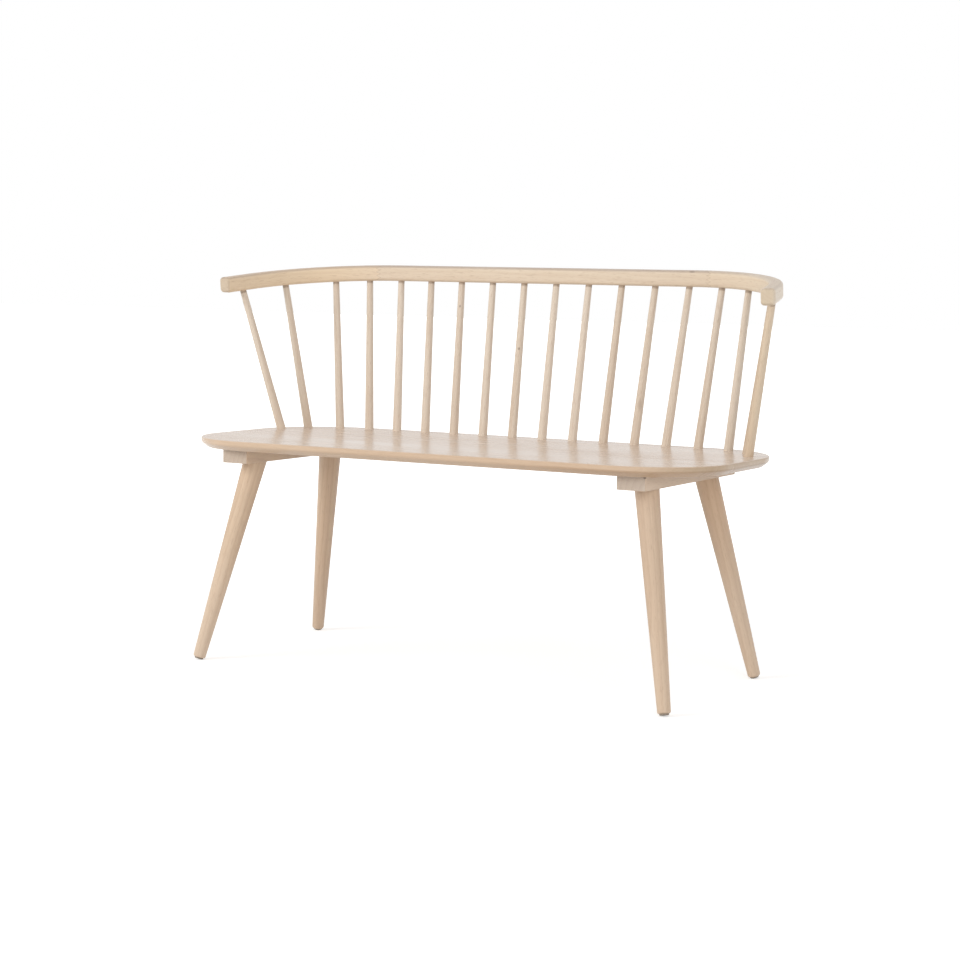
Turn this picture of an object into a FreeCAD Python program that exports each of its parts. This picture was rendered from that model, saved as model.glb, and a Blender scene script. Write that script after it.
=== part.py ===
import FreeCAD, Part
import math
import os

import Sketcher

# Dining bench: a solid seat board on two battens and four splayed legs, with a bent back rail that comes
# forward as arms and stands on eighteen tapered spindles. Millimetres. X runs along the seat, -Y is the
# front, Z is up, and the origin is on the floor under the middle of the whole bench.

SIZES = {
    # Seat board
    "seat_length": 1144.0,
    "seat_depth": 502.0,
    "seat_thickness": 20.0,
    "seat_top": 450.0,
    "seat_corner": 170.0,
    "seat_round": 2.5,
    "bevel_depth": 13.0,
    "bevel_rise": 10.0,
    "bevel_round": 8.0,
    # Back rail: a straight run, two bends and two straight tails, in a plane that leans forward
    "rail_setback": 10.0,
    "rail_above_seat": 319.7,
    "rail_width": 28.0,
    "rail_height": 32.0,
    "rail_arris": 7.0,
    "rail_end_round": 6.0,
    "rail_straight_half": 342.0,
    "rail_bend": 254.0,
    "rail_tail": 75.0,
    # Finger joints between the rail's middle and its arms, a little way into each bend
    "joint_into_bend": 43.0,
    "finger_length": 10.0,
    # Spindles
    "spindle_seat_diameter": 18.8,
    "spindle_rail_diameter": 13.2,
    "spindle_seat_inset": 37.0,
    "spindle_seat_pitch": 69.5,
    "spindle_rail_pitch": 74.4,
    "spindle_rail_end_pitch": 112.0,
    "tenon_in_seat": 14.0,
    "tenon_in_rail": 20.0,
    "tenon_chamfer": 1.0,
    "socket_relief": 0.8,
    "socket_fit": 0.1,
    # Battens under the seat, placed from its edges
    "batten_end_inset": 36.0,
    "batten_width": 58.0,
    "batten_height": 27.0,
    "batten_from_seat_end": 139.0,
    # Legs
    "leg_top_diameter": 46.5,
    "leg_foot_diameter": 25.0,
    "leg_from_front_edge": 107.0,
    "leg_from_back_edge": 113.0,
    "leg_splay_side": 80.5,
    "leg_splay_front": 78.5,
    "leg_splay_back": 84.5,
    "leg_top_round": 1.2,
    "leg_foot_round": 3.5,
    # Glides nailed into the feet
    "glide_diameter": 18.0,
    "glide_thickness": 3.0,
    "glide_edge": 1.0,
    "nail_diameter": 2.6,
    "nail_length": 16.0,
    # Hanger bolts and threaded inserts that hold the legs
    "bolt_diameter": 8.0,
    "bolt_in_leg": 38.0,
    "bolt_in_batten": 21.0,
    "bolt_point": 6.0,
    "bolt_chamfer": 0.8,
    "insert_diameter": 12.0,
    "insert_length": 18.0,
    "insert_recess": 2.5,
    # Countersunk screws that hold the battens
    "screw_diameter": 4.5,
    "screw_head_diameter": 9.0,
    "screw_head_height": 3.5,
    "screw_length": 38.0,
    "screw_point": 5.0,
    # Clearance round every nail, bolt, insert and screw, and the overrun of every cut past a surface
    "fixing_fit": 0.1,
    "cut_overrun": 3.0,
}
ANGLES = {
    "rail_lean_angle": 6.6,
    "rail_turn_angle": 78.0,
}

SPINDLES_PER_SIDE = 9
EVEN_SPINDLES_PER_SIDE = 7
FINGERS = 4
# Where the screws stand along a batten, as shares of the way from the seat's middle to a leg
SCREW_SHARES = (("front", 0.66), ("front", 0.28), ("back", 0.28), ("back", 0.66))
ENDS = {"left": -1, "right": 1}
SIDES = {"front": -1, "back": 1}

doc = FreeCAD.newDocument("DiningBench")
sheet = doc.addObject("Spreadsheet::Sheet", "Sizes")
worked = doc.addObject("Spreadsheet::Sheet", "Worked")


def fill_row(target, row, alias, value):
    target.set(f"A{row}", alias)
    target.set(f"B{row}", repr(value))
    target.setAlias(f"B{row}", alias)


for number, (alias, value) in enumerate((SIZES | ANGLES).items(), start=1):
    fill_row(sheet, number, alias, value)
doc.recompute()


def size(name):
    return float(sheet.get(name))


def vector(x, y, z):
    return FreeCAD.Vector(x, y, z)


def standing_on(point, direction):
    turn = FreeCAD.Rotation(vector(0, 0, 1), direction)
    return FreeCAD.Placement(point, turn)


def new_sketch(body, name, plane_role):
    sketch = body.newObject("Sketcher::SketchObject", name)
    plane = next(item for item in body.Origin.OriginFeatures if item.Role == plane_role)
    sketch.AttachmentSupport = (plane, [""])
    sketch.MapMode = "FlatFace"
    return sketch


def bind(sketch, kind, places, start, expression):
    index = sketch.addConstraint(Sketcher.Constraint(kind, *places, start))
    sketch.setExpression(f"Constraints[{index}]", expression)


# A closed outline of straight lines, each corner placed from the sketch's origin by two expressions.
# A corner coordinate of "0" sits on the axis.
def draw_outline(sketch, corners):
    count = len(corners)
    rough = []
    for index in range(count):
        angle = math.tau * index / count
        rough.append(vector(size("seat_top") * math.cos(angle), size("seat_top") * math.sin(angle), 0))
    for index in range(count):
        sketch.addGeometry(Part.LineSegment(rough[index], rough[(index + 1) % count]), False)
    for index in range(count):
        follower = (index + 1) % count
        sketch.addConstraint(Sketcher.Constraint("Coincident", index, 2, follower, 1))
    for index, (across, along) in enumerate(corners):
        if across == "0":
            sketch.addConstraint(Sketcher.Constraint("PointOnObject", index, 1, -2))
        else:
            bind(sketch, "DistanceX", (-1, 1, index, 1), rough[index].x, across)
        if along == "0":
            sketch.addConstraint(Sketcher.Constraint("PointOnObject", index, 1, -1))
        else:
            bind(sketch, "DistanceY", (-1, 1, index, 1), rough[index].y, along)


# A rectangle with round corners, centred on the sketch's origin.
def draw_rounded_rectangle(sketch, length, width, corner):
    half_length = size(length) / 2
    half_width = size(width) / 2
    radius = size(corner)
    inner_length = half_length - radius
    inner_width = half_width - radius
    flat = vector(0, 0, 1)
    ends = [
        (vector(-inner_length, -half_width, 0), vector(inner_length, -half_width, 0)),
        (vector(half_length, -inner_width, 0), vector(half_length, inner_width, 0)),
        (vector(inner_length, half_width, 0), vector(-inner_length, half_width, 0)),
        (vector(-half_length, inner_width, 0), vector(-half_length, -inner_width, 0)),
    ]
    centres = [(1, -1), (1, 1), (-1, 1), (-1, -1)]
    for line in ends:
        sketch.addGeometry(Part.LineSegment(*line), False)
    for turn, (side, front) in enumerate(centres):
        centre = vector(side * inner_length, front * inner_width, 0)
        first = math.radians(-90) + turn * math.radians(90)
        circle = Part.Circle(centre, flat, radius)
        sketch.addGeometry(Part.ArcOfCircle(circle, first, first + math.radians(90)), False)
    for turn in range(4):
        arc = 4 + turn
        follower = (turn + 1) % 4
        sketch.addConstraint(Sketcher.Constraint("Tangent", turn, 2, arc, 1))
        sketch.addConstraint(Sketcher.Constraint("Tangent", arc, 2, follower, 1))
    for turn in range(1, 4):
        sketch.addConstraint(Sketcher.Constraint("Equal", 4, 4 + turn))
    for turn, kind in enumerate(("Horizontal", "Vertical", "Horizontal", "Vertical")):
        sketch.addConstraint(Sketcher.Constraint(kind, turn))
    bind(sketch, "Radius", (4,), radius, f"Sizes.{corner}")
    bind(sketch, "DistanceY", (0, 1, -1, 1), half_width, f"Sizes.{width} / 2")
    bind(sketch, "DistanceX", (-1, 1, 1, 1), half_length, f"Sizes.{length} / 2")
    bind(sketch, "DistanceY", (-1, 1, 2, 1), half_width, f"Sizes.{width} / 2")
    bind(sketch, "DistanceX", (3, 1, -1, 1), half_length, f"Sizes.{length} / 2")


# A turned piece: its half outline in the XZ plane goes once round the Z axis.
def turned_piece(label, corners, placement):
    body = doc.addObject("PartDesign::Body", label)
    sketch = new_sketch(body, f"{label}_outline", "XZ_Plane")
    draw_outline(sketch, corners)
    turning = body.newObject("PartDesign::Revolution", f"{label}_turning")
    turning.Profile = sketch
    turning.ReferenceAxis = (sketch, ["V_Axis"])
    turning.Angle = 360
    sketch.Visibility = False
    body.Placement = placement
    return body


def drill(label, radius, depth, placement):
    cutter = doc.addObject("Part::Cylinder", label)
    cutter.setExpression("Radius", radius)
    cutter.setExpression("Height", depth)
    cutter.Placement = placement
    return cutter


def group_of(label, members):
    group = doc.addObject("Part::Compound", label)
    group.Links = members
    return group


def cut_away(label, base, tool):
    result = doc.addObject("Part::Cut", label)
    result.Base = base
    result.Tool = tool
    return result


def keep_inside(label, base, tool):
    result = doc.addObject("Part::Common", label)
    result.Base = base
    result.Tool = tool
    return result


# The rail stands proud of the seat's back edge, so the seat sits forward of the bench's middle.
lean = math.radians(size("rail_lean_angle"))
rail_core_depth = (size("rail_width") / 2 - size("rail_arris")) * math.cos(lean)
rail_core_lift = (size("rail_height") / 2 - size("rail_arris")) * math.sin(lean)
rail_behind_seat = size("rail_setback") + rail_core_depth + rail_core_lift + size("rail_arris")
seat_middle_y = -rail_behind_seat / 2
seat_back_y = seat_middle_y + size("seat_depth") / 2
seat_underside = size("seat_top") - size("seat_thickness")
batten_underside = seat_underside - size("batten_height")
batten_middle_x = size("seat_length") / 2 - size("batten_from_seat_end")
leg_from_middle = {side: size("seat_depth") / 2 - size(f"leg_from_{side}_edge") for side in SIDES}

# Back rail, drawn flat in its own frame and then leaned forward about X
rail_middle = vector(
    0,
    seat_back_y + size("rail_setback"),
    size("seat_top") + size("rail_above_seat") + size("rail_height") / 2 / math.cos(lean),
)
rail_frame = FreeCAD.Placement(rail_middle, FreeCAD.Rotation(vector(1, 0, 0), size("rail_lean_angle")))


# A point and a heading on the rail's centre line, at a distance along it from the middle.
def rail_place(distance):
    end = 1 if distance >= 0 else -1
    travel = abs(distance)
    straight = size("rail_straight_half")
    bend = size("rail_bend")
    full_turn = math.radians(size("rail_turn_angle"))
    turned = min(max(travel - straight, 0) / bend, full_turn)
    past_bend = max(travel - straight - bend * full_turn, 0)
    x = min(travel, straight) + bend * math.sin(turned) + past_bend * math.cos(turned)
    y = -bend * (1 - math.cos(turned)) - past_bend * math.sin(turned)
    return vector(end * x, y, 0), turned


def build_rail_blank():
    straight = size("rail_straight_half")
    bend = size("rail_bend")
    turn = math.radians(size("rail_turn_angle"))
    bend_start = vector(straight, 0, 0)
    bend_centre = vector(straight, -bend, 0)
    bend_end, heading = rail_place(straight + bend * turn)
    tail_end, heading = rail_place(straight + bend * turn + size("rail_tail"))
    body = doc.addObject("PartDesign::Body", "rail_blank")
    path = new_sketch(body, "rail_path", "XY_Plane")
    path.addGeometry(Part.LineSegment(vector(0, 0, 0), bend_start), False)
    bend_circle = Part.Circle(bend_centre, vector(0, 0, 1), bend)
    path.addGeometry(Part.ArcOfCircle(bend_circle, math.radians(90) - turn, math.radians(90)), False)
    path.addGeometry(Part.LineSegment(bend_end, tail_end), False)
    path.addConstraint(Sketcher.Constraint("Coincident", 0, 1, -1, 1))
    path.addConstraint(Sketcher.Constraint("Horizontal", 0))
    path.addConstraint(Sketcher.Constraint("Tangent", 0, 2, 1, 2))
    path.addConstraint(Sketcher.Constraint("Tangent", 1, 1, 2, 1))
    bind(path, "DistanceX", (0, 1, 0, 2), straight, "Sizes.rail_straight_half")
    bind(path, "Radius", (1,), bend, "Sizes.rail_bend")
    bind(path, "Angle", (1,), turn, "Sizes.rail_turn_angle")
    bind(path, "Distance", (2,), size("rail_tail"), "Sizes.rail_tail")
    section = new_sketch(body, "rail_section", "YZ_Plane")
    draw_rounded_rectangle(section, "rail_width", "rail_height", "rail_arris")
    doc.recompute()
    half = body.newObject("PartDesign::AdditivePipe", "rail_half")
    half.Profile = section
    half.Spine = (path, ["Edge1", "Edge2", "Edge3"])
    doc.recompute()
    whole = body.newObject("PartDesign::Mirrored", "rail_both_halves")
    whole.Originals = [half]
    middle_plane = next(item for item in body.Origin.OriginFeatures if item.Role == "YZ_Plane")
    whole.MirrorPlane = (middle_plane, [""])
    body.Tip = whole
    doc.recompute()
    end_edges = []
    for index, edge in enumerate(whole.Shape.Edges, start=1):
        middle = edge.CenterOfMass
        from_end = vector(abs(middle.x), middle.y, 0) - vector(tail_end.x, tail_end.y, 0)
        if abs(from_end.x * math.cos(turn) - from_end.y * math.sin(turn)) < size("socket_fit"):
            end_edges.append(f"Edge{index}")
    rounded = body.newObject("PartDesign::Fillet", "rail_rounded_ends")
    rounded.Base = (whole, end_edges)
    rounded.setExpression("Radius", "Sizes.rail_end_round")
    body.Tip = rounded
    body.Placement = rail_frame
    return body


# Spindles: their feet stand in a row that follows the seat's outline, their heads along the rail.
def seat_row_place(distance):
    radius = size("seat_corner") - size("spindle_seat_inset")
    straight = size("seat_length") / 2 - size("seat_corner")
    row_back = seat_back_y - size("spindle_seat_inset")
    turned = min(max(distance - straight, 0) / radius, math.radians(90))
    past_corner = max(distance - straight - radius * math.radians(90), 0)
    x = min(distance, straight) + radius * math.sin(turned)
    y = row_back - radius * (1 - math.cos(turned)) - past_corner
    return vector(x, y, size("seat_top"))


def spindle_line(end, step):
    foot = seat_row_place((step + 0.5) * size("spindle_seat_pitch"))
    even_steps = min(step, EVEN_SPINDLES_PER_SIDE - 1)
    wide_steps = step - even_steps
    along_rail = (even_steps + 0.5) * size("spindle_rail_pitch") + wide_steps * size("spindle_rail_end_pitch")
    centre, heading = rail_place(along_rail)
    head = rail_frame.multVec(centre) - vector(0, 0, size("rail_height") / 2 / math.cos(lean))
    return vector(end * foot.x, foot.y, foot.z), vector(end * head.x, head.y, head.z)


steps_left_to_right = [("left", step) for step in reversed(range(SPINDLES_PER_SIDE))]
steps_left_to_right += [("right", step) for step in range(SPINDLES_PER_SIDE)]
spindle_lines = [spindle_line(ENDS[side], step) for side, step in steps_left_to_right]
for number, (foot, head) in enumerate(spindle_lines, start=1):
    fill_row(worked, number, f"shaft_{number:02d}_length", (head - foot).Length)
doc.recompute()

spindles = []
seat_cutters = []
rail_cutters = []
for number, (foot, head) in enumerate(spindle_lines, start=1):
    label = f"spindle_{number:02d}"
    direction = (head - foot).normalize()
    seat_tenon_end = foot - direction * size("tenon_in_seat")
    seat_radius = "Sizes.spindle_seat_diameter / 2"
    rail_radius = "Sizes.spindle_rail_diameter / 2"
    shaft_end = f"(Sizes.tenon_in_seat + Worked.shaft_{number:02d}_length)"
    head_end = f"({shaft_end} + Sizes.tenon_in_rail)"
    outline = [
        ("0", "0"),
        (f"{seat_radius} - Sizes.tenon_chamfer", "0"),
        (seat_radius, "Sizes.tenon_chamfer"),
        (seat_radius, "Sizes.tenon_in_seat"),
        (rail_radius, shaft_end),
        (rail_radius, f"{head_end} - Sizes.tenon_chamfer"),
        (f"{rail_radius} - Sizes.tenon_chamfer", head_end),
        ("0", head_end),
    ]
    spindles.append(turned_piece(label, outline, standing_on(seat_tenon_end, direction)))
    seat_cutters.append(drill(
        f"seat_socket_{number:02d}",
        f"{seat_radius} + Sizes.socket_fit",
        "Sizes.tenon_in_seat + Sizes.socket_relief + Sizes.cut_overrun",
        standing_on(seat_tenon_end - direction * size("socket_relief"), direction),
    ))
    rail_cutters.append(drill(
        f"rail_socket_{number:02d}",
        f"{rail_radius} + Sizes.socket_fit",
        "Sizes.tenon_in_rail + Sizes.socket_relief + Sizes.cut_overrun",
        standing_on(head - direction * size("cut_overrun"), direction),
    ))


# Countersunk screw: its head lies in the batten's underside and its point is in the seat.
def screw_outline(fit):
    shank = f"Sizes.screw_diameter / 2 + {fit}"
    head = f"Sizes.screw_head_diameter / 2 + {fit}"
    return [
        ("0", "0"),
        (head, "0"),
        (shank, "Sizes.screw_head_height"),
        (shank, "Sizes.screw_length - Sizes.screw_point"),
        ("0", f"Sizes.screw_length + {fit}"),
    ]


screws = []
screw_cutters = []
for end_name, end in ENDS.items():
    for side_name, share in SCREW_SHARES:
        x = end * batten_middle_x
        y = seat_middle_y + SIDES[side_name] * share * leg_from_middle[side_name]
        placement = FreeCAD.Placement(vector(x, y, batten_underside), FreeCAD.Rotation())
        number = len(screws) + 1
        screws.append(turned_piece(f"batten_screw_{number}", screw_outline("0"), placement))
        screw_cutters.append(
            turned_piece(f"screw_way_{number}", screw_outline("Sizes.fixing_fit"), placement)
        )
screw_ways = group_of("screw_ways", screw_cutters)


# Legs: turned cones, sawn level at the batten and square at the foot, each on a hanger bolt along its own
# axis. The square foot's glide touches the floor with its inner rim.
def leg_axis(end, side_name):
    side = SIDES[side_name]
    top = vector(end * batten_middle_x, seat_middle_y + side * leg_from_middle[side_name], batten_underside)
    drop = vector(end * size("leg_splay_side"), side * size(f"leg_splay_{side_name}"), -batten_underside)
    upward = vector(-drop.x, -drop.y, -drop.z).normalize()
    tilt = math.acos(upward.z)
    glide_flat_radius = size("glide_diameter") / 2 - size("glide_edge")
    foot = top + drop + upward * (glide_flat_radius * math.tan(tilt))
    return top, foot, upward


def edges_at_height(shape, height):
    found = []
    for index, edge in enumerate(shape.Edges, start=1):
        box = edge.BoundBox
        if abs(box.ZMin - height) < size("socket_fit") and abs(box.ZMax - height) < size("socket_fit"):
            found.append(index)
    return found


def widest_edge(shape, indexes):
    return max(indexes, key=lambda index: shape.Edges[index - 1].Length)


def edges_centred_on(shape, point):
    found = []
    for index, edge in enumerate(shape.Edges, start=1):
        if edge.CenterOfMass.distanceToPoint(point) < size("socket_fit"):
            found.append(index)
    return found


for number, side_name in enumerate(SIDES, start=1):
    top, foot, upward = leg_axis(ENDS["right"], side_name)
    fill_row(worked, len(spindle_lines) + number, f"leg_length_{side_name}", (top - foot).Length)
doc.recompute()

legs = []
glides = []
bolts = []
inserts = []
insert_cutters = []
for side_name, side in SIDES.items():
    for end_name, end in ENDS.items():
        place = f"{side_name}_{end_name}"
        top, foot, upward = leg_axis(end, side_name)
        glide_top = foot + upward * size("glide_thickness")
        length = f"Worked.leg_length_{side_name}"
        taper = f"(Sizes.leg_top_diameter - Sizes.leg_foot_diameter) / {length} / 2"
        cone = turned_piece(
            f"leg_cone_{place}",
            [
                ("0", "0"),
                ("Sizes.leg_foot_diameter / 2", "0"),
                (
                    f"Sizes.leg_top_diameter / 2 + Sizes.leg_top_diameter * {taper}",
                    f"{length} + Sizes.leg_top_diameter",
                ),
                ("0", f"{length} + Sizes.leg_top_diameter"),
            ],
            standing_on(glide_top, upward),
        )
        level = doc.addObject("Part::Box", f"leg_level_{place}")
        level.setExpression("Length", "Sizes.seat_length")
        level.setExpression("Width", "Sizes.seat_depth * 2")
        level.setExpression("Height", "Sizes.seat_top - Sizes.seat_thickness - Sizes.batten_height")
        level.Placement.Base = vector(min(0, end) * size("seat_length"), seat_middle_y - size("seat_depth"), 0)
        sawn = keep_inside(f"leg_sawn_{place}", cone, level)
        bolt_way = drill(
            f"bolt_way_{place}",
            "Sizes.bolt_diameter / 2 + Sizes.fixing_fit",
            "Sizes.bolt_in_leg + Sizes.socket_relief + Sizes.leg_top_diameter",
            standing_on(top - upward * (size("bolt_in_leg") + size("socket_relief")), upward),
        )
        nail_way = drill(
            f"nail_way_{place}",
            "Sizes.nail_diameter / 2 + Sizes.fixing_fit",
            "Sizes.nail_length + Sizes.socket_relief + Sizes.cut_overrun",
            standing_on(glide_top - upward * size("cut_overrun"), upward),
        )
        doc.recompute()
        rounded = doc.addObject("Part::Fillet", f"leg_rounded_{place}")
        rounded.Base = sawn
        top_edge = widest_edge(sawn.Shape, edges_at_height(sawn.Shape, batten_underside))
        foot_edge = widest_edge(sawn.Shape, edges_centred_on(sawn.Shape, glide_top))
        rounded.Edges = [
            (top_edge, size("leg_top_round"), size("leg_top_round")),
            (foot_edge, size("leg_foot_round"), size("leg_foot_round")),
        ]
        legs.append(cut_away(f"leg_{place}", rounded, group_of(f"leg_ways_{place}", [bolt_way, nail_way])))
        glides.append(turned_piece(
            f"glide_{place}",
            [
                ("0", "0"),
                ("Sizes.glide_diameter / 2 - Sizes.glide_edge", "0"),
                ("Sizes.glide_diameter / 2", "Sizes.glide_edge"),
                ("Sizes.glide_diameter / 2", "Sizes.glide_thickness"),
                ("Sizes.nail_diameter / 2", "Sizes.glide_thickness"),
                (
                    "Sizes.nail_diameter / 2",
                    "Sizes.glide_thickness + Sizes.nail_length - Sizes.nail_diameter",
                ),
                ("0", "Sizes.glide_thickness + Sizes.nail_length"),
            ],
            standing_on(foot, upward),
        ))
        bolt_end = "(Sizes.bolt_in_leg + Sizes.bolt_in_batten)"
        bolts.append(turned_piece(
            f"leg_bolt_{place}",
            [
                ("0", "0"),
                ("Sizes.bolt_diameter / 2", "Sizes.bolt_point"),
                ("Sizes.bolt_diameter / 2", f"{bolt_end} - Sizes.bolt_chamfer"),
                ("Sizes.bolt_diameter / 2 - Sizes.bolt_chamfer", bolt_end),
                ("0", bolt_end),
            ],
            standing_on(top - upward * size("bolt_in_leg"), upward),
        ))
        inserts.append(turned_piece(
            f"leg_insert_{place}",
            [
                ("Sizes.bolt_diameter / 2 + Sizes.fixing_fit", "0"),
                ("Sizes.insert_diameter / 2", "0"),
                ("Sizes.insert_diameter / 2", "Sizes.insert_length"),
                ("Sizes.bolt_diameter / 2 + Sizes.fixing_fit", "Sizes.insert_length"),
            ],
            standing_on(top + upward * size("insert_recess"), upward),
        ))
        insert_cutters.append(drill(
            f"insert_way_{place}",
            "Sizes.insert_diameter / 2 + Sizes.fixing_fit",
            "Sizes.insert_recess + Sizes.insert_length + Sizes.socket_relief + Sizes.cut_overrun",
            standing_on(top - upward * size("cut_overrun"), upward),
        ))
insert_ways = group_of("insert_ways", insert_cutters)

# Battens: plain square-ended bars
battens = []
for end_name, end in ENDS.items():
    body = doc.addObject("PartDesign::Body", f"batten_blank_{end_name}")
    plan = new_sketch(body, f"batten_plan_{end_name}", "XY_Plane")
    half_width = "Sizes.batten_width / 2"
    half_length = "(Sizes.seat_depth / 2 - Sizes.batten_end_inset)"
    draw_outline(plan, [
        (f"-{half_width}", f"-{half_length}"),
        (half_width, f"-{half_length}"),
        (half_width, half_length),
        (f"-{half_width}", half_length),
    ])
    bar = body.newObject("PartDesign::Pad", f"batten_bar_{end_name}")
    bar.Profile = plan
    bar.setExpression("Length", "Sizes.batten_height")
    body.Placement.Base = vector(end * batten_middle_x, seat_middle_y, batten_underside)
    screwed = cut_away(f"batten_screwed_{end_name}", body, screw_ways)
    battens.append(cut_away(f"batten_{end_name}", screwed, insert_ways))

# Seat board: rounded plan, soft top edge, bevelled under edge
seat_body = doc.addObject("PartDesign::Body", "seat_blank")
seat_plan = new_sketch(seat_body, "seat_plan", "XY_Plane")
draw_rounded_rectangle(seat_plan, "seat_length", "seat_depth", "seat_corner")
board = seat_body.newObject("PartDesign::Pad", "seat_panel")
board.Profile = seat_plan
board.setExpression("Length", "Sizes.seat_thickness")
doc.recompute()
top_edges = [f"Edge{index}" for index in edges_at_height(board.Shape, size("seat_thickness"))]
softened = seat_body.newObject("PartDesign::Fillet", "seat_top_edge")
softened.Base = (board, top_edges)
softened.setExpression("Radius", "Sizes.seat_round")
doc.recompute()
under_edges = [f"Edge{index}" for index in edges_at_height(softened.Shape, 0)]
bevelled = seat_body.newObject("PartDesign::Chamfer", "seat_under_bevel")
bevelled.Base = (softened, under_edges)
bevelled.ChamferType = "Two distances"
bevelled.setExpression("Size", "Sizes.bevel_rise")
bevelled.setExpression("Size2", "Sizes.bevel_depth")
doc.recompute()
bevel_edges = [f"Edge{index}" for index in edges_at_height(bevelled.Shape, size("bevel_rise"))]
eased = seat_body.newObject("PartDesign::Fillet", "seat_bevel_round")
eased.Base = (bevelled, bevel_edges)
eased.setExpression("Radius", "Sizes.bevel_round")
seat_body.Placement.Base = vector(0, seat_middle_y, seat_underside)
seat_drilled = cut_away("seat_drilled", seat_body, group_of("seat_sockets", seat_cutters))
seat_board = cut_away("seat_board", seat_drilled, screw_ways)

# The rail is drilled for the spindles, then parted at two finger joints.
rail_blank = build_rail_blank()
rail_drilled = cut_away("rail_drilled", rail_blank, group_of("rail_sockets", rail_cutters))


# Everything outward of one finger joint: a zigzag edge across the rail's height, and room beyond it.
def arm_side(end_name, end):
    reach = "(Sizes.rail_bend + Sizes.rail_tail + Sizes.rail_width)"
    low = "-Sizes.rail_height / 2"
    high = "Sizes.rail_height / 2"
    corners = []
    for step in range(2 * FINGERS + 1):
        along = "Sizes.finger_length / 2" if step % 2 else "-Sizes.finger_length / 2"
        height = f"Sizes.rail_height * ({step} / {2 * FINGERS} - 1 / 2)"
        corners.append((along, height if step != FINGERS else "0"))
    corners.append(("-Sizes.finger_length / 2", f"{high} + Sizes.cut_overrun"))
    corners.append((reach, f"{high} + Sizes.cut_overrun"))
    corners.append((reach, f"{low} - Sizes.cut_overrun"))
    corners.append(("-Sizes.finger_length / 2", f"{low} - Sizes.cut_overrun"))
    body = doc.addObject("PartDesign::Body", f"arm_side_{end_name}")
    outline = new_sketch(body, f"finger_outline_{end_name}", "XZ_Plane")
    draw_outline(outline, corners)
    block = body.newObject("PartDesign::Pad", f"finger_block_{end_name}")
    block.Profile = outline
    block.setExpression("Length", f"{reach} * 2")
    centre, turned = rail_place(end * (size("rail_straight_half") + size("joint_into_bend")))
    heading = -math.degrees(turned) if end > 0 else 180 + math.degrees(turned)
    room = size("rail_bend") + size("rail_tail") + size("rail_width")
    facing = FreeCAD.Placement(centre, FreeCAD.Rotation(vector(0, 0, 1), heading))
    centred = FreeCAD.Placement(vector(0, room, 0), FreeCAD.Rotation())
    body.Placement = rail_frame.multiply(facing).multiply(centred)
    return body


arm_sides = {end_name: arm_side(end_name, end) for end_name, end in ENDS.items()}
rail_pieces = [cut_away("rail_centre", rail_drilled, group_of("both_arm_sides", list(arm_sides.values())))]
for end_name, tool in arm_sides.items():
    rail_pieces.append(keep_inside(f"rail_arm_{end_name}", rail_drilled, tool))

nodes = [seat_board] + rail_pieces + spindles + battens + legs + glides
nodes.append(group_of("leg_bolts", bolts))
nodes.append(group_of("leg_inserts", inserts))
nodes.append(group_of("batten_screws", screws))
doc.recompute()

for item in doc.Objects:
    if "Invalid" in item.State or "Error" in item.State:
        raise RuntimeError(f"{item.Label} did not build: {item.State}")
for node in nodes:
    if node.Shape.isNull() or not node.Shape.isValid():
        raise RuntimeError(f"{node.Label} has no valid shape")

os.makedirs("parts", exist_ok=True)
for node in nodes:
    node.Shape.exportStep(f"parts/{node.Label}.step")
    print(f"{node.Label}: {len(node.Shape.Solids)} solids, {node.Shape.Volume / 1000:.1f} cm3")
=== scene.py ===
import math
import bmesh
import bpy
from mathutils import Matrix, Vector


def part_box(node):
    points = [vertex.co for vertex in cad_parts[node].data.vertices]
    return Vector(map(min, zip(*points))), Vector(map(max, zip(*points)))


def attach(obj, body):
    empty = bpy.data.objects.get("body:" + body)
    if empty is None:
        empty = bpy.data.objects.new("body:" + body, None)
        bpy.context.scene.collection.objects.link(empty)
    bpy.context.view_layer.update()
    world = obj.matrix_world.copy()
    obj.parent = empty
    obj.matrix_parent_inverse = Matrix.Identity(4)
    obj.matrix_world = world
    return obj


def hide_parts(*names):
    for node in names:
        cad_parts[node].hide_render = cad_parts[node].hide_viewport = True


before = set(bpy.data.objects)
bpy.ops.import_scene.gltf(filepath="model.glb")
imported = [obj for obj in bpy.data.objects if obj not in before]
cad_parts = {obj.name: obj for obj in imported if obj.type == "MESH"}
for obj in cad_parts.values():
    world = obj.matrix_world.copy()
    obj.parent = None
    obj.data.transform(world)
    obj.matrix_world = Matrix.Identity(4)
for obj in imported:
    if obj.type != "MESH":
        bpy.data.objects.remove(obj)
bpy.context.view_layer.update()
print("frame loaded:", len(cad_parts), "nodes")


# The camera stands where the photograph was taken from
camera = {
    "place": (2.038, -3.764, 0.788),   # metres
    "yaw": 28.43,                      # degrees, turned left from straight along +Y
    "pitch": 5.46,                     # degrees, looking down
    "roll": 1.03,
    "focal": 80.96,                    # mm on a 36 mm sensor
}


def makeCamera(spec):
    yaw, pitch, roll = (math.radians(spec[name]) for name in ("yaw", "pitch", "roll"))
    ahead = Vector((-math.sin(yaw) * math.cos(pitch), math.cos(yaw) * math.cos(pitch), -math.sin(pitch)))
    level = Vector((math.cos(yaw), math.sin(yaw), 0))
    upright = level.cross(ahead)
    right = level * math.cos(roll) + upright * math.sin(roll)
    up = upright * math.cos(roll) - level * math.sin(roll)
    data = bpy.data.cameras.new("photoCamera")
    data.lens = spec["focal"]
    data.sensor_width = 36
    lookOut = bpy.data.objects.new("photoCamera", data)
    turn = Matrix((right, up, -ahead)).transposed().to_4x4()
    lookOut.matrix_world = Matrix.Translation(Vector(spec["place"])) @ turn
    bpy.context.collection.objects.link(lookOut)
    bpy.context.scene.camera = lookOut


makeCamera(camera)
print("camera placed")


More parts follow.
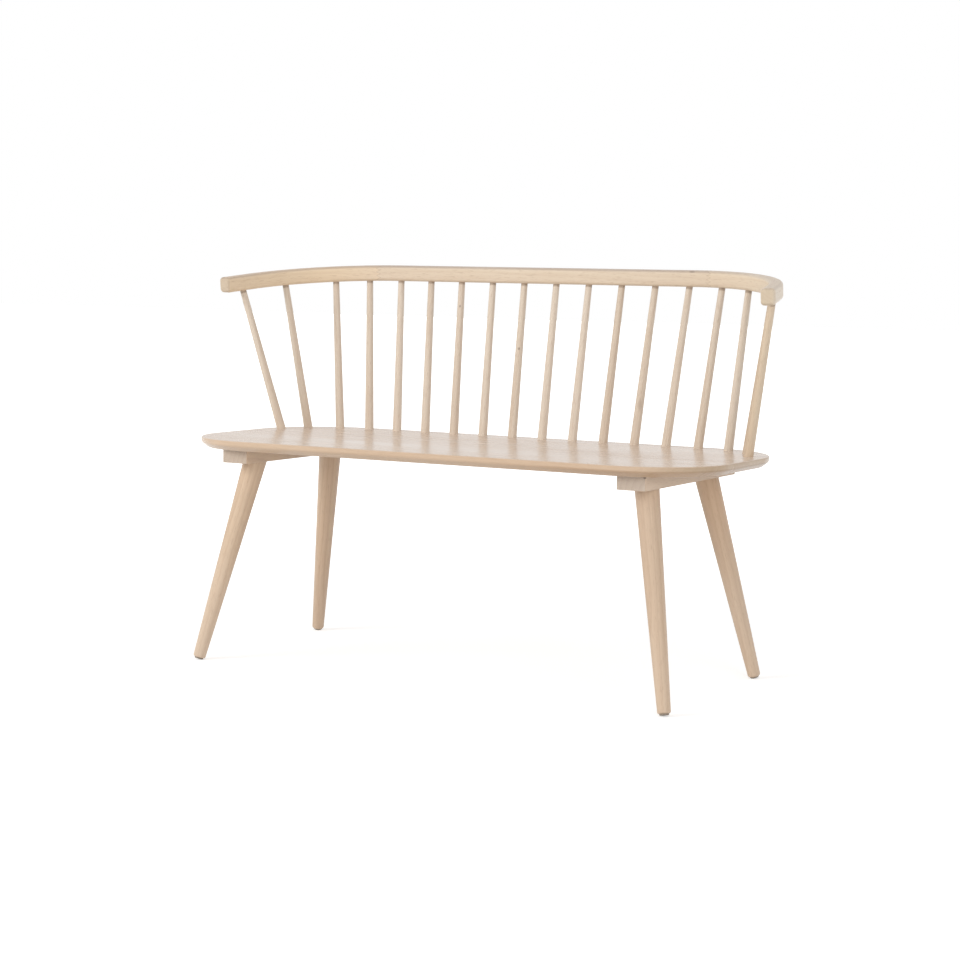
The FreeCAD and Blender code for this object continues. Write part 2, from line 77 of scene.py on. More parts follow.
# Small helpers for node trees
def addNode(tree, kind, inputs=None, **settings):
    node = tree.nodes.new(kind)
    for name, value in settings.items():
        setattr(node, name, value)
    for name, value in (inputs or {}).items():
        if isinstance(value, bpy.types.NodeSocket):
            tree.links.new(value, node.inputs[name])
        else:
            node.inputs[name].default_value = value
    return node


def result(tree, kind, inputs=None, **settings):
    return addNode(tree, kind, inputs, **settings).outputs[0]


def maths(tree, operation, first, second=0.0, third=0.0):
    return result(tree, "ShaderNodeMath", {0: first, 1: second, 2: third}, operation=operation)


def plus(tree, first, second):
    return maths(tree, "ADD", first, second)


def minus(tree, first, second):
    return maths(tree, "SUBTRACT", first, second)


def times(tree, first, second):
    return maths(tree, "MULTIPLY", first, second)


def vectorMaths(tree, operation, first, second=(0.0, 0.0, 0.0)):
    node = addNode(tree, "ShaderNodeVectorMath", {0: first, 1: second}, operation=operation)
    return node.outputs["Value" if operation == "LENGTH" else "Vector"]


def scaleVector(tree, vector, factor):
    return result(tree, "ShaderNodeVectorMath", {0: vector, "Scale": factor}, operation="SCALE")


def toVector(tree, x, y, z):
    return result(tree, "ShaderNodeCombineXYZ", {0: x, 1: y, 2: z})


def toNumbers(tree, vector):
    return addNode(tree, "ShaderNodeSeparateXYZ", {0: vector}).outputs


def objectPlace(tree):
    return addNode(tree, "ShaderNodeTexCoord").outputs["Object"]


def remap(tree, value, low, high, newLow=0.0, newHigh=1.0, kind="LINEAR"):
    numbers = {0: value, 1: low, 2: high, 3: newLow, 4: newHigh}
    return result(tree, "ShaderNodeMapRange", numbers, interpolation_type=kind)


def fade(tree, value, low, high, newLow=0.0, newHigh=1.0):
    return remap(tree, value, low, high, newLow, newHigh, "SMOOTHSTEP")


def mixColour(tree, share, first, second, blend="MIX"):
    inputs = {0: share, 6: first, 7: second}
    return addNode(tree, "ShaderNodeMix", inputs, data_type="RGBA", blend_type=blend).outputs[2]


def tint(tree, share, colour, tone):
    return mixColour(tree, share, colour, (*tone, 1), "MULTIPLY")


def noise(tree, place, scale, detail, roughness):
    inputs = {"Vector": place, "Scale": scale, "Detail": detail, "Roughness": roughness}
    return addNode(tree, "ShaderNodeTexNoise", inputs).outputs["Fac"]


# Noise drawn out along the grain, which runs in x
def grainNoise(tree, place, along, scale, detail, roughness):
    return noise(tree, vectorMaths(tree, "MULTIPLY", place, (along, 1.0, 1.0)), scale, detail, roughness)


noiseSpan = (0.3, 0.7)      # nearly all values of a noise lie between these


def newMaterial(name):
    material = bpy.data.materials.new(name)
    material.use_nodes = True
    return material, material.node_tree, material.node_tree.nodes["Principled BSDF"]


def addBump(tree, shader, strength, distance, height):
    bump = result(tree, "ShaderNodeBump", {"Strength": strength, "Distance": distance, "Height": height})
    tree.links.new(bump, shader.inputs["Normal"])


# One solid wood figure that every wooden piece is cut from. Its input runs along the grain in x,
# in metres. The pith of the log lies along x at y = z = 0.
figure = {
    "ringWidth": 0.011,          # growth ring, metres
    "ringWander": 0.06,          # how far a ring strays where the wander noise is 1
    "lateWood": 2.6,             # power: darker wood only at the ring's outside
    "earlyWood": 0.12,           # share of the ring that turns pale again
    # Share along the grain, scale, detail and roughness of each noise
    "wander": (0.35, 5.0, 2.0, 0.5),
    "streaks": (0.05, 55.0, 4.0, 0.6),
    "fibres": (0.03, 520.0, 3.0, 0.65),
    "pores": (0.07, 900.0, 1.0, 0.5),
    "clouds": (0.3, 7.0, 3.0, 0.5),
    "poreSpan": (0.60, 0.72),    # noise values between which a pore starts
}


def makeWoodFigure(spec):
    tree = bpy.data.node_groups.new("woodFigure", "ShaderNodeTree")
    tree.interface.new_socket("Place", in_out="INPUT", socket_type="NodeSocketVector")
    for name in ("Rings", "Streaks", "Fibres", "Pores", "Clouds"):
        tree.interface.new_socket(name, in_out="OUTPUT", socket_type="NodeSocketFloat")
    place = tree.nodes.new("NodeGroupInput").outputs["Place"]
    wander, streaks, fibres, dashes, clouds = (
        grainNoise(tree, place, *spec[part]) for part in ("wander", "streaks", "fibres", "pores", "clouds")
    )
    radius = vectorMaths(tree, "LENGTH", vectorMaths(tree, "MULTIPLY", place, (0.0, 1.0, 1.0)))
    strayed = maths(tree, "MULTIPLY_ADD", wander, spec["ringWander"], radius)
    within = maths(tree, "FRACT", maths(tree, "DIVIDE", strayed, spec["ringWidth"]))
    late = maths(tree, "POWER", within, spec["lateWood"])
    early = fade(tree, within, 0.0, spec["earlyWood"], 1.0, 0.0)
    pores = fade(tree, dashes, *spec["poreSpan"])
    results = {"Rings": maths(tree, "MAXIMUM", late, early), "Streaks": streaks, "Fibres": fibres,
               "Pores": pores, "Clouds": clouds}
    addNode(tree, "NodeGroupOutput", results)
    return tree


woodFigure = makeWoodFigure(figure)


def readAttribute(tree, name, output):
    return addNode(tree, "ShaderNodeAttribute", attribute_name=name).outputs[output]


# Knots are small ellipsoids in the wood: centre, half sizes in metres, and how dark
knotHeart = 0.3     # share of the size that is darkest all through


def knotShade(tree, knots):
    place, shade = objectPlace(tree), 0.0
    for centre, halfSizes, darkness in knots:
        away = vectorMaths(tree, "DIVIDE", vectorMaths(tree, "SUBTRACT", place, centre), halfSizes)
        spot = fade(tree, vectorMaths(tree, "LENGTH", away), knotHeart, 1.0, darkness, 0.0)
        shade = maths(tree, "MAXIMUM", shade, spot)
    return shade


# How squarely a face looks along the given axis, 0 to 1
def facing(tree, axis, low, high):
    normal = addNode(tree, "ShaderNodeNewGeometry").outputs["Normal"]
    return fade(tree, toNumbers(tree, normal)[axis], low, high)


# White-oiled hardwood. The look's pale and deep colours are the two ends of the figure's tone.
def makeWood(name, look, grainPlace, tone=None, extra=None, knots=()):
    material, tree, shader = newMaterial(name)
    grain = grainPlace(tree)
    parts = addNode(tree, "ShaderNodeGroup", node_tree=woodFigure)
    tree.links.new(grain, parts.inputs["Place"])
    rings, streaks, fibres, pores, clouds = parts.outputs
    shade = times(tree, rings, look["ringShade"])
    for part, strength in ((streaks, "streakShade"), (fibres, "fibreShade"), (clouds, "cloudShade")):
        shade = maths(tree, "MULTIPLY_ADD", remap(tree, part, *noiseSpan), look[strength], shade)
    if tone:
        shade = plus(tree, shade, tone(tree))
    colour = mixColour(tree, shade, (*look["pale"], 1), (*look["deep"], 1))
    # White oil stays in the open grain of some patches
    patches = grainNoise(tree, grain, *look["patches"])
    chalk = fade(tree, patches, *look["patchSpan"], 0.0, look["chalk"])
    colour = mixColour(tree, chalk, colour, (*look["oil"], 1))
    colour = mixColour(tree, times(tree, pores, look["poreShade"]), colour, (*look["pore"], 1))
    if extra:
        colour = extra(tree, colour)
    if knots:
        colour = mixColour(tree, knotShade(tree, knots), colour, (*look["knot"], 1))
    tree.links.new(colour, shader.inputs["Base Color"])
    low, high = (look["roughness"] + sign * look["roughSpread"] for sign in (-1, 1))
    gloss = remap(tree, clouds, *noiseSpan, low, high)
    tree.links.new(maths(tree, "MULTIPLY_ADD", pores, look["poreRough"], gloss), shader.inputs["Roughness"])
    raised = times(tree, fibres, look["fibreHeight"])
    addBump(tree, shader, look["bump"], look["bumpDepth"], maths(tree, "MULTIPLY_ADD", pores, -1.0, raised))
    return material


woodLook = {
    "pale": (0.76, 0.60, 0.44),
    "deep": (0.56, 0.39, 0.26),
    "oil": (0.80, 0.70, 0.60),
    "pore": (0.42, 0.28, 0.18),
    "knot": (0.16, 0.11, 0.08),
    "ringShade": 0.30,
    "streakShade": 0.30,
    "fibreShade": 0.18,
    "cloudShade": 0.25,
    "poreShade": 0.35,
    "chalk": 0.35,
    "patches": (0.4, 3.2, 2.0, 0.5),      # noise of the oil's patches, as in the figure
    "patchSpan": (0.30, 0.75),
    "roughness": 0.42,
    "roughSpread": 0.05,
    "poreRough": 0.08,                    # added in a pore
    "bump": 0.25,
    "bumpDepth": 0.0003,                  # metres
    "fibreHeight": 0.6,                   # share of a pore's depth
}


def finishPiece(piece, slot, *nodes):
    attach(piece, "root")
    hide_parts(*nodes)


def objectFrom(name, shape):
    mesh = bpy.data.meshes.new(name)
    shape.to_mesh(mesh)
    shape.free()
    made = bpy.data.objects.new(name, mesh)
    bpy.context.collection.objects.link(made)
    return made


# Rings of vertices joined into one closed skin, capped at both ends
def closeRings(shape, rings):
    for one, other in zip(rings, rings[1:]):
        for here in range(len(one)):
            following = (here + 1) % len(one)
            shape.faces.new((one[here], other[here], other[following], one[following]))
    shape.faces.new(rings[0])
    shape.faces.new(reversed(rings[-1]))


# Geometry Nodes tree with one input for each value; the piece's own mesh comes in as "Geometry"
def newTree(name, values):
    tree = bpy.data.node_groups.new(name, "GeometryNodeTree")
    tree.interface.new_socket("Geometry", in_out="INPUT", socket_type="NodeSocketGeometry")
    for label, value in values.items():
        kind = {int: "NodeSocketInt", float: "NodeSocketFloat"}.get(type(value), "NodeSocketMaterial")
        tree.interface.new_socket(label, in_out="INPUT", socket_type=kind)
    tree.interface.new_socket("Geometry", in_out="OUTPUT", socket_type="NodeSocketGeometry")
    return tree, tree.nodes.new("NodeGroupInput").outputs


def endTree(tree, geometry, material):
    real = result(tree, "GeometryNodeRealizeInstances", {"Geometry": geometry})
    soft = result(tree, "GeometryNodeSetShadeSmooth", {"Geometry": real})
    painted = result(tree, "GeometryNodeSetMaterial", {"Geometry": soft, "Material": material})
    addNode(tree, "NodeGroupOutput", {"Geometry": painted})


def storeAttribute(tree, geometry, name, value, kind="FLOAT"):
    inputs = {"Geometry": geometry, "Name": name, "Value": value}
    return result(tree, "GeometryNodeStoreNamedAttribute", inputs, data_type=kind, domain="POINT")


def namedAttribute(tree, name, kind="FLOAT"):
    return result(tree, "GeometryNodeInputNamedAttribute", {"Name": name}, data_type=kind)


def moveTo(tree, geometry, place):
    return result(tree, "GeometryNodeSetPosition", {"Geometry": geometry, "Position": place})


def sweepAlong(tree, path, section, scale=1.0):
    inputs = {"Curve": path, "Profile Curve": section, "Scale": scale, "Fill Caps": True}
    return result(tree, "GeometryNodeCurveToMesh", inputs)


# The lines of a turned piece as curves of many points, and the circle that is swept along them
def turningCurves(tree, given):
    curves = result(tree, "GeometryNodeMeshToCurve", {"Mesh": given["Geometry"]})
    curves = result(tree, "GeometryNodeResampleCurve", {"Curve": curves, "Count": given["rings"]})
    circle = {"Resolution": given["sides"], "Radius": 1.0}
    return curves, result(tree, "GeometryNodeCurvePrimitiveCircle", circle)


# How far a surface draws in near its end, so that the edge there is rounded
def drawIn(tree, radius, toEnd):
    short = maths(tree, "MAXIMUM", minus(tree, radius, toEnd), 0.0)
    square = minus(tree, times(tree, radius, radius), times(tree, short, short))
    return minus(tree, radius, maths(tree, "SQRT", maths(tree, "MAXIMUM", square, 0.0)))


# Each turned piece is cut from its own place in the log
def placeInLog(tree, seed, spec, grain):
    number = maths(tree, "ROUND", namedAttribute(tree, "number"))
    inputs = {0: spec["logLow"], 1: spec["logHigh"], "ID": number, "Seed": seed}
    spot = result(tree, "FunctionNodeRandomValue", inputs, data_type="FLOAT_VECTOR")
    return vectorMaths(tree, "ADD", grain, spot)


def runTree(name, tree, startMesh, values):
    piece = bpy.data.objects.new(name, startMesh)
    bpy.context.collection.objects.link(piece)
    modifier = piece.modifiers.new(tree.name, "NODES")
    modifier.node_group = tree
    for item in tree.interface.items_tree:
        if item.in_out == "INPUT" and item.name in values:
            modifier[item.identifier] = values[item.name]
    bpy.context.view_layer.update()
    depsgraph = bpy.context.evaluated_depsgraph_get()
    mesh = bpy.data.meshes.new_from_object(
        piece.evaluated_get(depsgraph), preserve_all_data_layers=True, depsgraph=depsgraph
    )
    piece.modifiers.remove(modifier)
    mesh.name = name
    piece.data = mesh
    print(name, "made:", len(mesh.polygons), "faces")
    return piece


# Lines as a mesh of loose edges, with numbers or vectors kept on their two ends
def meshOfLines(name, lines, numbers):
    mesh = bpy.data.meshes.new(name)
    edges = [(2 * n, 2 * n + 1) for n in range(len(lines))]
    mesh.from_pydata([end for line in lines for end in line], edges, [])
    for label, pairs in numbers.items():
        values = [value for pair in pairs for value in pair]
        if isinstance(values[0], Vector):
            attribute = mesh.attributes.new(label, "FLOAT_VECTOR", "POINT")
            attribute.data.foreach_set("vector", [number for value in values for number in value])
        else:
            attribute = mesh.attributes.new(label, "FLOAT", "POINT")
            attribute.data.foreach_set("value", values)
    return mesh


# Seat board: rings of one rounded outline, from the middle of the top round to the middle of the underside
seatLow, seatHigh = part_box("seat_board")
seat = {
    "corner": 0.170,        # plan radius
    "topRound": 0.0025,
    "bevelIn": 0.013,
    "bevelUp": 0.010,
    "bevelRound": 0.008,    # where the bevel meets the edge
    "arris": 0.0025,        # where it meets the underside
    "flatMargin": 0.012,    # flat ring inside the rounded edge
    "staveWidth": 0.0837,
    "logReach": (30.0, 0.10, 0.10),     # how far apart in the log the staves can lie
    "logPlace": (0.3, 0.02, -0.40),
    "cornerSteps": 48,
    "roundSteps": 8,
}


def seatOutline(inset):
    halfX = (seatHigh.x - seatLow.x) / 2 - inset
    halfY = (seatHigh.y - seatLow.y) / 2 - inset
    middle = (seatHigh + seatLow) / 2
    radius = seat["corner"] - inset
    points = []
    for quarter, (signX, signY) in enumerate(((1, 1), (-1, 1), (-1, -1), (1, -1))):
        for step in range(seat["cornerSteps"] + 1):
            angle = math.radians(90) * (quarter + step / seat["cornerSteps"])
            points.append((
                middle.x + signX * (halfX - radius) + radius * math.cos(angle),
                middle.y + signY * (halfY - radius) + radius * math.sin(angle),
            ))
    return points


# A corner of the edge profile, (inset, height) points, rounded between its two neighbours
def softCorner(before, corner, after, radius, steps):
    before, corner, after = Vector(before), Vector(corner), Vector(after)
    back, on = (before - corner).normalized(), (after - corner).normalized()
    half = back.angle(on) / 2
    reach = radius / math.tan(half)
    centre = corner + (back + on).normalized() * (radius / math.sin(half))
    first, last = corner + back * reach - centre, corner + on * reach - centre
    sweep = first.angle_signed(last)
    return [centre + Matrix.Rotation(-sweep * step / steps, 2) @ first for step in range(steps + 1)]


def makeSeat(material):
    top, under = seatHigh.z, seatLow.z
    edge = [(seat["flatMargin"], top), (0.0, top), (0.0, under + seat["bevelUp"]), (seat["bevelIn"], under),
            (seat["bevelIn"] + seat["flatMargin"], under)]
    profile = [Vector((seat["topRound"] + seat["flatMargin"], top))]
    for corner, radius in ((1, seat["topRound"]), (2, seat["bevelRound"]), (3, seat["arris"])):
        profile += softCorner(*edge[corner - 1:corner + 2], radius, seat["roundSteps"])
    profile.append(Vector((seat["bevelIn"] + seat["flatMargin"], under)))
    shape = bmesh.new()
    closeRings(shape, [[shape.verts.new((x, y, height)) for x, y in seatOutline(inset)]
                       for inset, height in profile])
    board = objectFrom("seatBoard", shape)
    board.data.materials.append(material)
    board.data.shade_smooth()
    return board


seatLook = woodLook | {
    "pale": (0.69, 0.53, 0.405), "deep": (0.55, 0.395, 0.28), "oil": (0.73, 0.60, 0.49),
    "ringShade": 0.17, "poreShade": 0.16, "chalk": 0.4, "roughness": 0.25, "bump": 0.05,
    # The spans of a face's direction, up or sideways, over which each tone sets in
    "topFace": (0.35, 0.95),
    "edge": (0.955, 0.905, 0.82),    # the edge soaks up more oil and turns warmer
    "endFace": (0.35, 0.95),
    "endGrain": (0.82, 0.82, 0.78),
    "bevelFace": ((-0.15, -0.50), (-0.95, -0.75)),    # looks down, but is not the underside
    "bevelShadeFrom": (0.15, 0.42),       # painted shade: darker towards the right-hand end, in x
    # painted shade on the bevel
    "bevel": (0.84, 0.78, 0.72),
    "sheen": 0.06,                   # white oil shows most at a low angle
    "sheenRough": 0.35,
    "sheenTint": (0.85, 0.92, 1.0),
}


def seatEdge(tree, colour):
    # Painted shade on the bevel's downward faces towards the right-hand end
    down, notUnder = (facing(tree, 2, *span) for span in seatLook["bevelFace"])
    rightEnd = fade(tree, toNumbers(tree, objectPlace(tree))[0], *seatLook["bevelShadeFrom"])
    bevel = times(tree, times(tree, down, notUnder), rightEnd)
    colour = tint(tree, bevel, colour, seatLook["bevel"])
    low, high = seatLook["endFace"]
    atEnd = maths(tree, "MAXIMUM", facing(tree, 0, low, high), facing(tree, 0, -low, -high))
    edge = tint(tree, atEnd, tint(tree, 1.0, colour, seatLook["edge"]), seatLook["endGrain"])
    return mixColour(tree, facing(tree, 2, *seatLook["topFace"]), edge, colour)


# The board is glued up from staves, each from another part of the log
def seatGrain(tree):
    place = objectPlace(tree)
    stave = maths(tree, "FLOOR", maths(tree, "DIVIDE", toNumbers(tree, place)[1], seat["staveWidth"]))
    spot = addNode(tree, "ShaderNodeTexWhiteNoise", {"W": stave}, noise_dimensions="1D").outputs["Color"]
    spot = vectorMaths(tree, "MULTIPLY", spot, seat["logReach"])
    return vectorMaths(tree, "ADD", vectorMaths(tree, "ADD", place, spot), seat["logPlace"])


seatWood = makeWood("seatWood", seatLook, seatGrain, extra=seatEdge)
sheen = seatWood.node_tree.nodes["Principled BSDF"].inputs
sheen["Sheen Weight"].default_value = seatLook["sheen"]
sheen["Sheen Roughness"].default_value = seatLook["sheenRough"]
sheen["Sheen Tint"].default_value = (*seatLook["sheenTint"], 1)
seatBoard = makeSeat(seatWood)
finishPiece(seatBoard, "seat_wood", "seat_board")
print("seat board made")


# Back rail: a rounded section swept along a straight run, two bends and two straight tails
rail = {
    "straight": 0.342,      # half of the straight run
    "bend": 0.254,          # radius
    "turn": 78.0,           # degrees
    "tail": 0.075,
    "lean": 6.6,            # degrees, about X
    "aboveSeat": 0.3197,
    "behindSeat": 0.010,
    "width": 0.028,
    "height": 0.032,
    "arris": 0.007,
    "endRound": 0.006,
    "jointIntoBend": 0.043,
    "fingerLength": 0.010,
    "fingers": 4,
    "rings": 520,
    "arrisSteps": 10,
    "logPlace": (2.0, 0.05, 0.09),
    "knots": [((0.345, 0.2348, 0.7993), (0.009, 0.003, 0.0022), 0.8)],
}
lean = math.radians(rail["lean"])
railMiddle = Vector((0, seatHigh.y + rail["behindSeat"],
                     seatHigh.z + rail["aboveSeat"] + rail["height"] / 2 / math.cos(lean)))


def railPlace(distance):
    travel = abs(distance)
    fullTurn = math.radians(rail["turn"])
    turned = min(max(travel - rail["straight"], 0) / rail["bend"], fullTurn)
    past = max(travel - rail["straight"] - rail["bend"] * fullTurn, 0)
    x = min(travel, rail["straight"]) + rail["bend"] * math.sin(turned) + past * math.cos(turned)
    y = -rail["bend"] * (1 - math.cos(turned)) - past * math.sin(turned)
    flat = Vector((math.copysign(x, distance), y, 0))
    return railMiddle + Matrix.Rotation(lean, 3, "X") @ flat


def makeRailTree(values):
    tree, given = newTree("sweptRail", values)
    arc = times(tree, given["bend"], given["turn"])
    bendEnd = plus(tree, given["straight"], arc)
    total = plus(tree, bendEnd, given["tail"])
    line = result(tree, "GeometryNodeMeshLine", {"Count": given["rings"]})
    # Share of the way from the middle, -1 to 1, with rings close together at both ends
    index = result(tree, "GeometryNodeInputIndex")
    share = remap(tree, index, 0.0, minus(tree, given["rings"], 1.0), -1.0, 1.0)
    side, share = maths(tree, "SIGN", share), maths(tree, "ABSOLUTE", share)
    cubed = maths(tree, "POWER", share, 3.0)
    eased = minus(tree, times(tree, share, 1.5), times(tree, cubed, 0.5))
    travel = times(tree, eased, total)
    turned = maths(tree, "DIVIDE", minus(tree, travel, given["straight"]), given["bend"])
    turned = maths(tree, "MINIMUM", maths(tree, "MAXIMUM", turned, 0.0), given["turn"])
    past = maths(tree, "MAXIMUM", minus(tree, travel, bendEnd), 0.0)
    sine, cosine = maths(tree, "SINE", turned), maths(tree, "COSINE", turned)
    x = maths(tree, "MINIMUM", travel, given["straight"])
    x = maths(tree, "MULTIPLY_ADD", given["bend"], sine, x)
    x = maths(tree, "MULTIPLY_ADD", past, cosine, x)
    y = times(tree, given["bend"], minus(tree, cosine, 1.0))
    y = minus(tree, y, times(tree, past, sine))
    place = toVector(tree, times(tree, x, side), y, 0.0)
    # The section draws in towards the ends, which rounds them
    drawnIn = drawIn(tree, given["endRound"], minus(tree, total, travel))
    halfSize = times(tree, plus(tree, given["width"], given["height"]), 0.25)
    scale = minus(tree, 1.0, maths(tree, "DIVIDE", drawnIn, halfSize))
    line = storeAttribute(tree, line, "railRun", times(tree, travel, side))
    line = storeAttribute(tree, line, "sectionScale", scale)
    path = result(tree, "GeometryNodeMeshToCurve", {"Mesh": moveTo(tree, line, place)})
    path = result(tree, "GeometryNodeSetCurveNormal", {"Curve": path}, mode="Z_UP")
    size = {"Width": given["width"], "Height": given["height"]}
    box = result(tree, "GeometryNodeCurvePrimitiveQuadrilateral", size)
    corners = {"Curve": box, "Count": given["arrisSteps"], "Radius": given["arris"]}
    section = result(tree, "GeometryNodeFilletCurve", corners, mode="POLY")
    sectionPlace = result(tree, "GeometryNodeInputPosition")
    section = storeAttribute(tree, section, "sectionPlace", sectionPlace, "FLOAT_VECTOR")
    swept = sweepAlong(tree, path, section, namedAttribute(tree, "sectionScale"))
    lift = result(tree, "GeometryNodeTransform", {
        "Geometry": swept,
        "Translation": toVector(tree, 0.0, given["back"], given["rise"]),
        "Rotation": toVector(tree, given["lean"], 0.0, 0.0),
    })
    endTree(tree, lift, given["wood"])
    return tree


# The middle piece and the two arms come from different boards, and their fingers show as a toothed line
def railColour(tree, colour):
    run = readAttribute(tree, "railRun", "Fac")
    travel, left = maths(tree, "ABSOLUTE", run), maths(tree, "LESS_THAN", run, 0.0)
    height = toNumbers(tree, readAttribute(tree, "sectionPlace", "Vector"))[1]
    pitch = rail["height"] / rail["fingers"] / 2
    teeth = maths(tree, "PINGPONG", plus(tree, height, rail["height"] / 2), pitch)
    edge = maths(tree, "MULTIPLY_ADD", teeth, rail["fingerLength"] / pitch, -rail["fingerLength"] / 2)
    joint = rail["straight"] + rail["jointIntoBend"]
    past = minus(tree, minus(tree, travel, joint), edge)
    arm = maths(tree, "GREATER_THAN", past, 0.0)
    rightArm = times(tree, arm, minus(tree, 1.0, left))
    armTone = mixColour(tree, left, (*railLook["rightArm"], 1), (*railLook["leftArm"], 1))
    toned = times(tree, arm, fade(tree, past, *railLook["armFade"]))
    colour = mixColour(tree, toned, colour, armTone, "MULTIPLY")
    line = fade(tree, maths(tree, "ABSOLUTE", past), *railLook["glueLine"])
    colour = mixColour(tree, line, colour, (*railLook["glue"], 1))
    # Painted shade darkens the top faces, less so on the right arm
    topShade = maths(tree, "MULTIPLY_ADD", rightArm, -railLook["rightTopShadeSpared"], 1.0)
    topShade = times(tree, topShade, facing(tree, 2, *railLook["topFace"]))
    colour = tint(tree, topShade, colour, railLook["top"])
    # Sawn ends drink more oil; the left end, which faces the key lamp, is darker still as painted shade
    total = rail["straight"] + rail["bend"] * math.radians(rail["turn"]) + rail["tail"]
    sawn = fade(tree, travel, *(total - depth for depth in railLook["endDepth"]))
    endTone = mixColour(tree, left, (*railLook["rightEnd"], 1), (*railLook["leftEndGrainAndShade"], 1))
    colour = mixColour(tree, sawn, colour, endTone, "MULTIPLY")
    # Painted light on the right arm's side that faces +x
    outerLight = times(tree, rightArm, facing(tree, 0, *railLook["outerFace"]))
    return tint(tree, outerLight, colour, railLook["outerLight"])


def railGrain(tree):
    run = readAttribute(tree, "railRun", "Fac")
    across = toNumbers(tree, readAttribute(tree, "sectionPlace", "Vector"))
    return vectorMaths(tree, "ADD", toVector(tree, run, across[0], across[1]), rail["logPlace"])


railLook = woodLook | {
    "pale": (0.78, 0.66, 0.51), "deep": (0.60, 0.45, 0.31),
    "ringShade": 0.24, "streakShade": 0.22, "fibreShade": 0.14,
    "leftArm": (1.10, 1.05, 0.95), "rightArm": (1.07, 1.08, 1.07),
    "armFade": (0.0, 0.15, 0.4, 1.0),         # metres past the joint, and how much of the tone there
    "glue": (0.30, 0.19, 0.11),
    "glueLine": (0.0003, 0.0010, 0.55, 0.0),  # metres from the joint, and how dark
    # painted shade on the rail's top faces
    "topFace": (0.15, 0.80), "top": (0.73, 0.70, 0.72), "rightTopShadeSpared": 0.35,
    "endDepth": (0.006, 0.001), "leftEndGrainAndShade": (0.73, 0.735, 0.755), "rightEnd": (0.83, 0.81, 0.78),
    "outerFace": (0.15, 0.90), "outerLight": (1.06, 1.09, 1.15),   # painted light: the right arm's side facing +x is made the palest
}
railWood = makeWood("railWood", railLook, railGrain, extra=railColour, knots=rail["knots"])
sameNames = ("straight", "bend", "tail", "width", "height", "arris", "endRound", "rings", "arrisSteps")
railValues = {name: rail[name] for name in sameNames} | {
    "turn": math.radians(rail["turn"]), "lean": lean, "rise": railMiddle.z, "back": railMiddle.y,
    "wood": railWood,
}
backRail = runTree("backRail", makeRailTree(railValues), bpy.data.meshes.new("backRail"), railValues)
finishPiece(backRail, "rail_wood", "rail_centre", "rail_arm_left", "rail_arm_right")


# Spindles: eighteen tapered rounds between the seat and the rail
spindles = {
    "perSide": 9,
    "evenPerSide": 7,
    "seatInset": 0.037,
    "seatPitch": 0.0695,
    "railPitch": 0.0744,
    "railEndPitch": 0.112,
    "seatDiameter": 0.0188,
    "railDiameter": 0.0132,
    "intoSeat": 0.004,
    "intoRail": 0.007,
    "rings": 24,
    "sides": 28,
    "seed": 7,
    "logLow": (0.0, 0.02, 0.03), "logHigh": (30.0, 0.12, 0.15),
    "knots": [
        ((-0.1822, 0.2345, 0.7186), (0.0032, 0.0032, 0.0038), 0.55),
        ((-0.0333, 0.2218, 0.6341), (0.0032, 0.0032, 0.0045), 0.6),
        ((0.5473, 0.1297, 0.6967), (0.003, 0.003, 0.0035), 0.5),
        ((0.2517, 0.2065, 0.5304), (0.006, 0.006, 0.018), 0.22),
    ],
}


def seatRowPlace(distance):
    radius = seat["corner"] - spindles["seatInset"]
    straight = (seatHigh.x - seatLow.x) / 2 - seat["corner"]
    quarter = math.radians(90)
    turned = min(max(distance - straight, 0) / radius, quarter)
    past = max(distance - straight - radius * quarter, 0)
    x = min(distance, straight) + radius * math.sin(turned)
    y = seatHigh.y - spindles["seatInset"] - radius * (1 - math.cos(turned)) - past
    return Vector((x, y, seatHigh.z))


def spindleLine(side, step):
    foot = seatRowPlace((step + 0.5) * spindles["seatPitch"])
    even = min(step, spindles["evenPerSide"] - 1)
    alongRail = (even + 0.5) * spindles["railPitch"] + (step - even) * spindles["railEndPitch"]
    head = railPlace(alongRail) - Vector((0, 0, rail["height"] / 2 / math.cos(lean)))
    foot.x, head.x = side * foot.x, side * head.x
    along = (head - foot).normalized()
    return foot - along * spindles["intoSeat"], head + along * spindles["intoRail"]


def makeSpindleTree(values):
    tree, given = newTree("turnedSpindles", values)
    curves, rim = turningCurves(tree, given)
    up = namedAttribute(tree, "up")
    thinner = minus(tree, given["railRadius"], given["seatRadius"])
    radius = maths(tree, "MULTIPLY_ADD", thinner, up, given["seatRadius"])
    curves = storeAttribute(tree, curves, "turnedRadius", radius)
    rimPlace = result(tree, "GeometryNodeInputPosition")
    rim = storeAttribute(tree, rim, "rimPlace", rimPlace, "FLOAT_VECTOR")
    radius = namedAttribute(tree, "turnedRadius")
    turned = sweepAlong(tree, curves, rim, radius)
    across = toNumbers(tree, scaleVector(tree, namedAttribute(tree, "rimPlace", "FLOAT_VECTOR"), radius))
    grain = toVector(tree, namedAttribute(tree, "run"), across[0], across[1])
    grain = placeInLog(tree, given["seed"], spindles, grain)
    turned = storeAttribute(tree, turned, "grainPlace", grain, "FLOAT_VECTOR")
    left = times(tree, minus(tree, 1.0, up), namedAttribute(tree, "length"))
    turned = storeAttribute(tree, turned, "underRail", minus(tree, left, given["intoRail"]))
    inputs = {"ID": maths(tree, "ROUND", namedAttribute(tree, "number")),
              "Seed": plus(tree, given["seed"], 1.0)}
    tone = addNode(tree, "FunctionNodeRandomValue", inputs, data_type="FLOAT").outputs[1]
    endTree(tree, storeAttribute(tree, turned, "pieceTone", tone), given["wood"])
    return tree


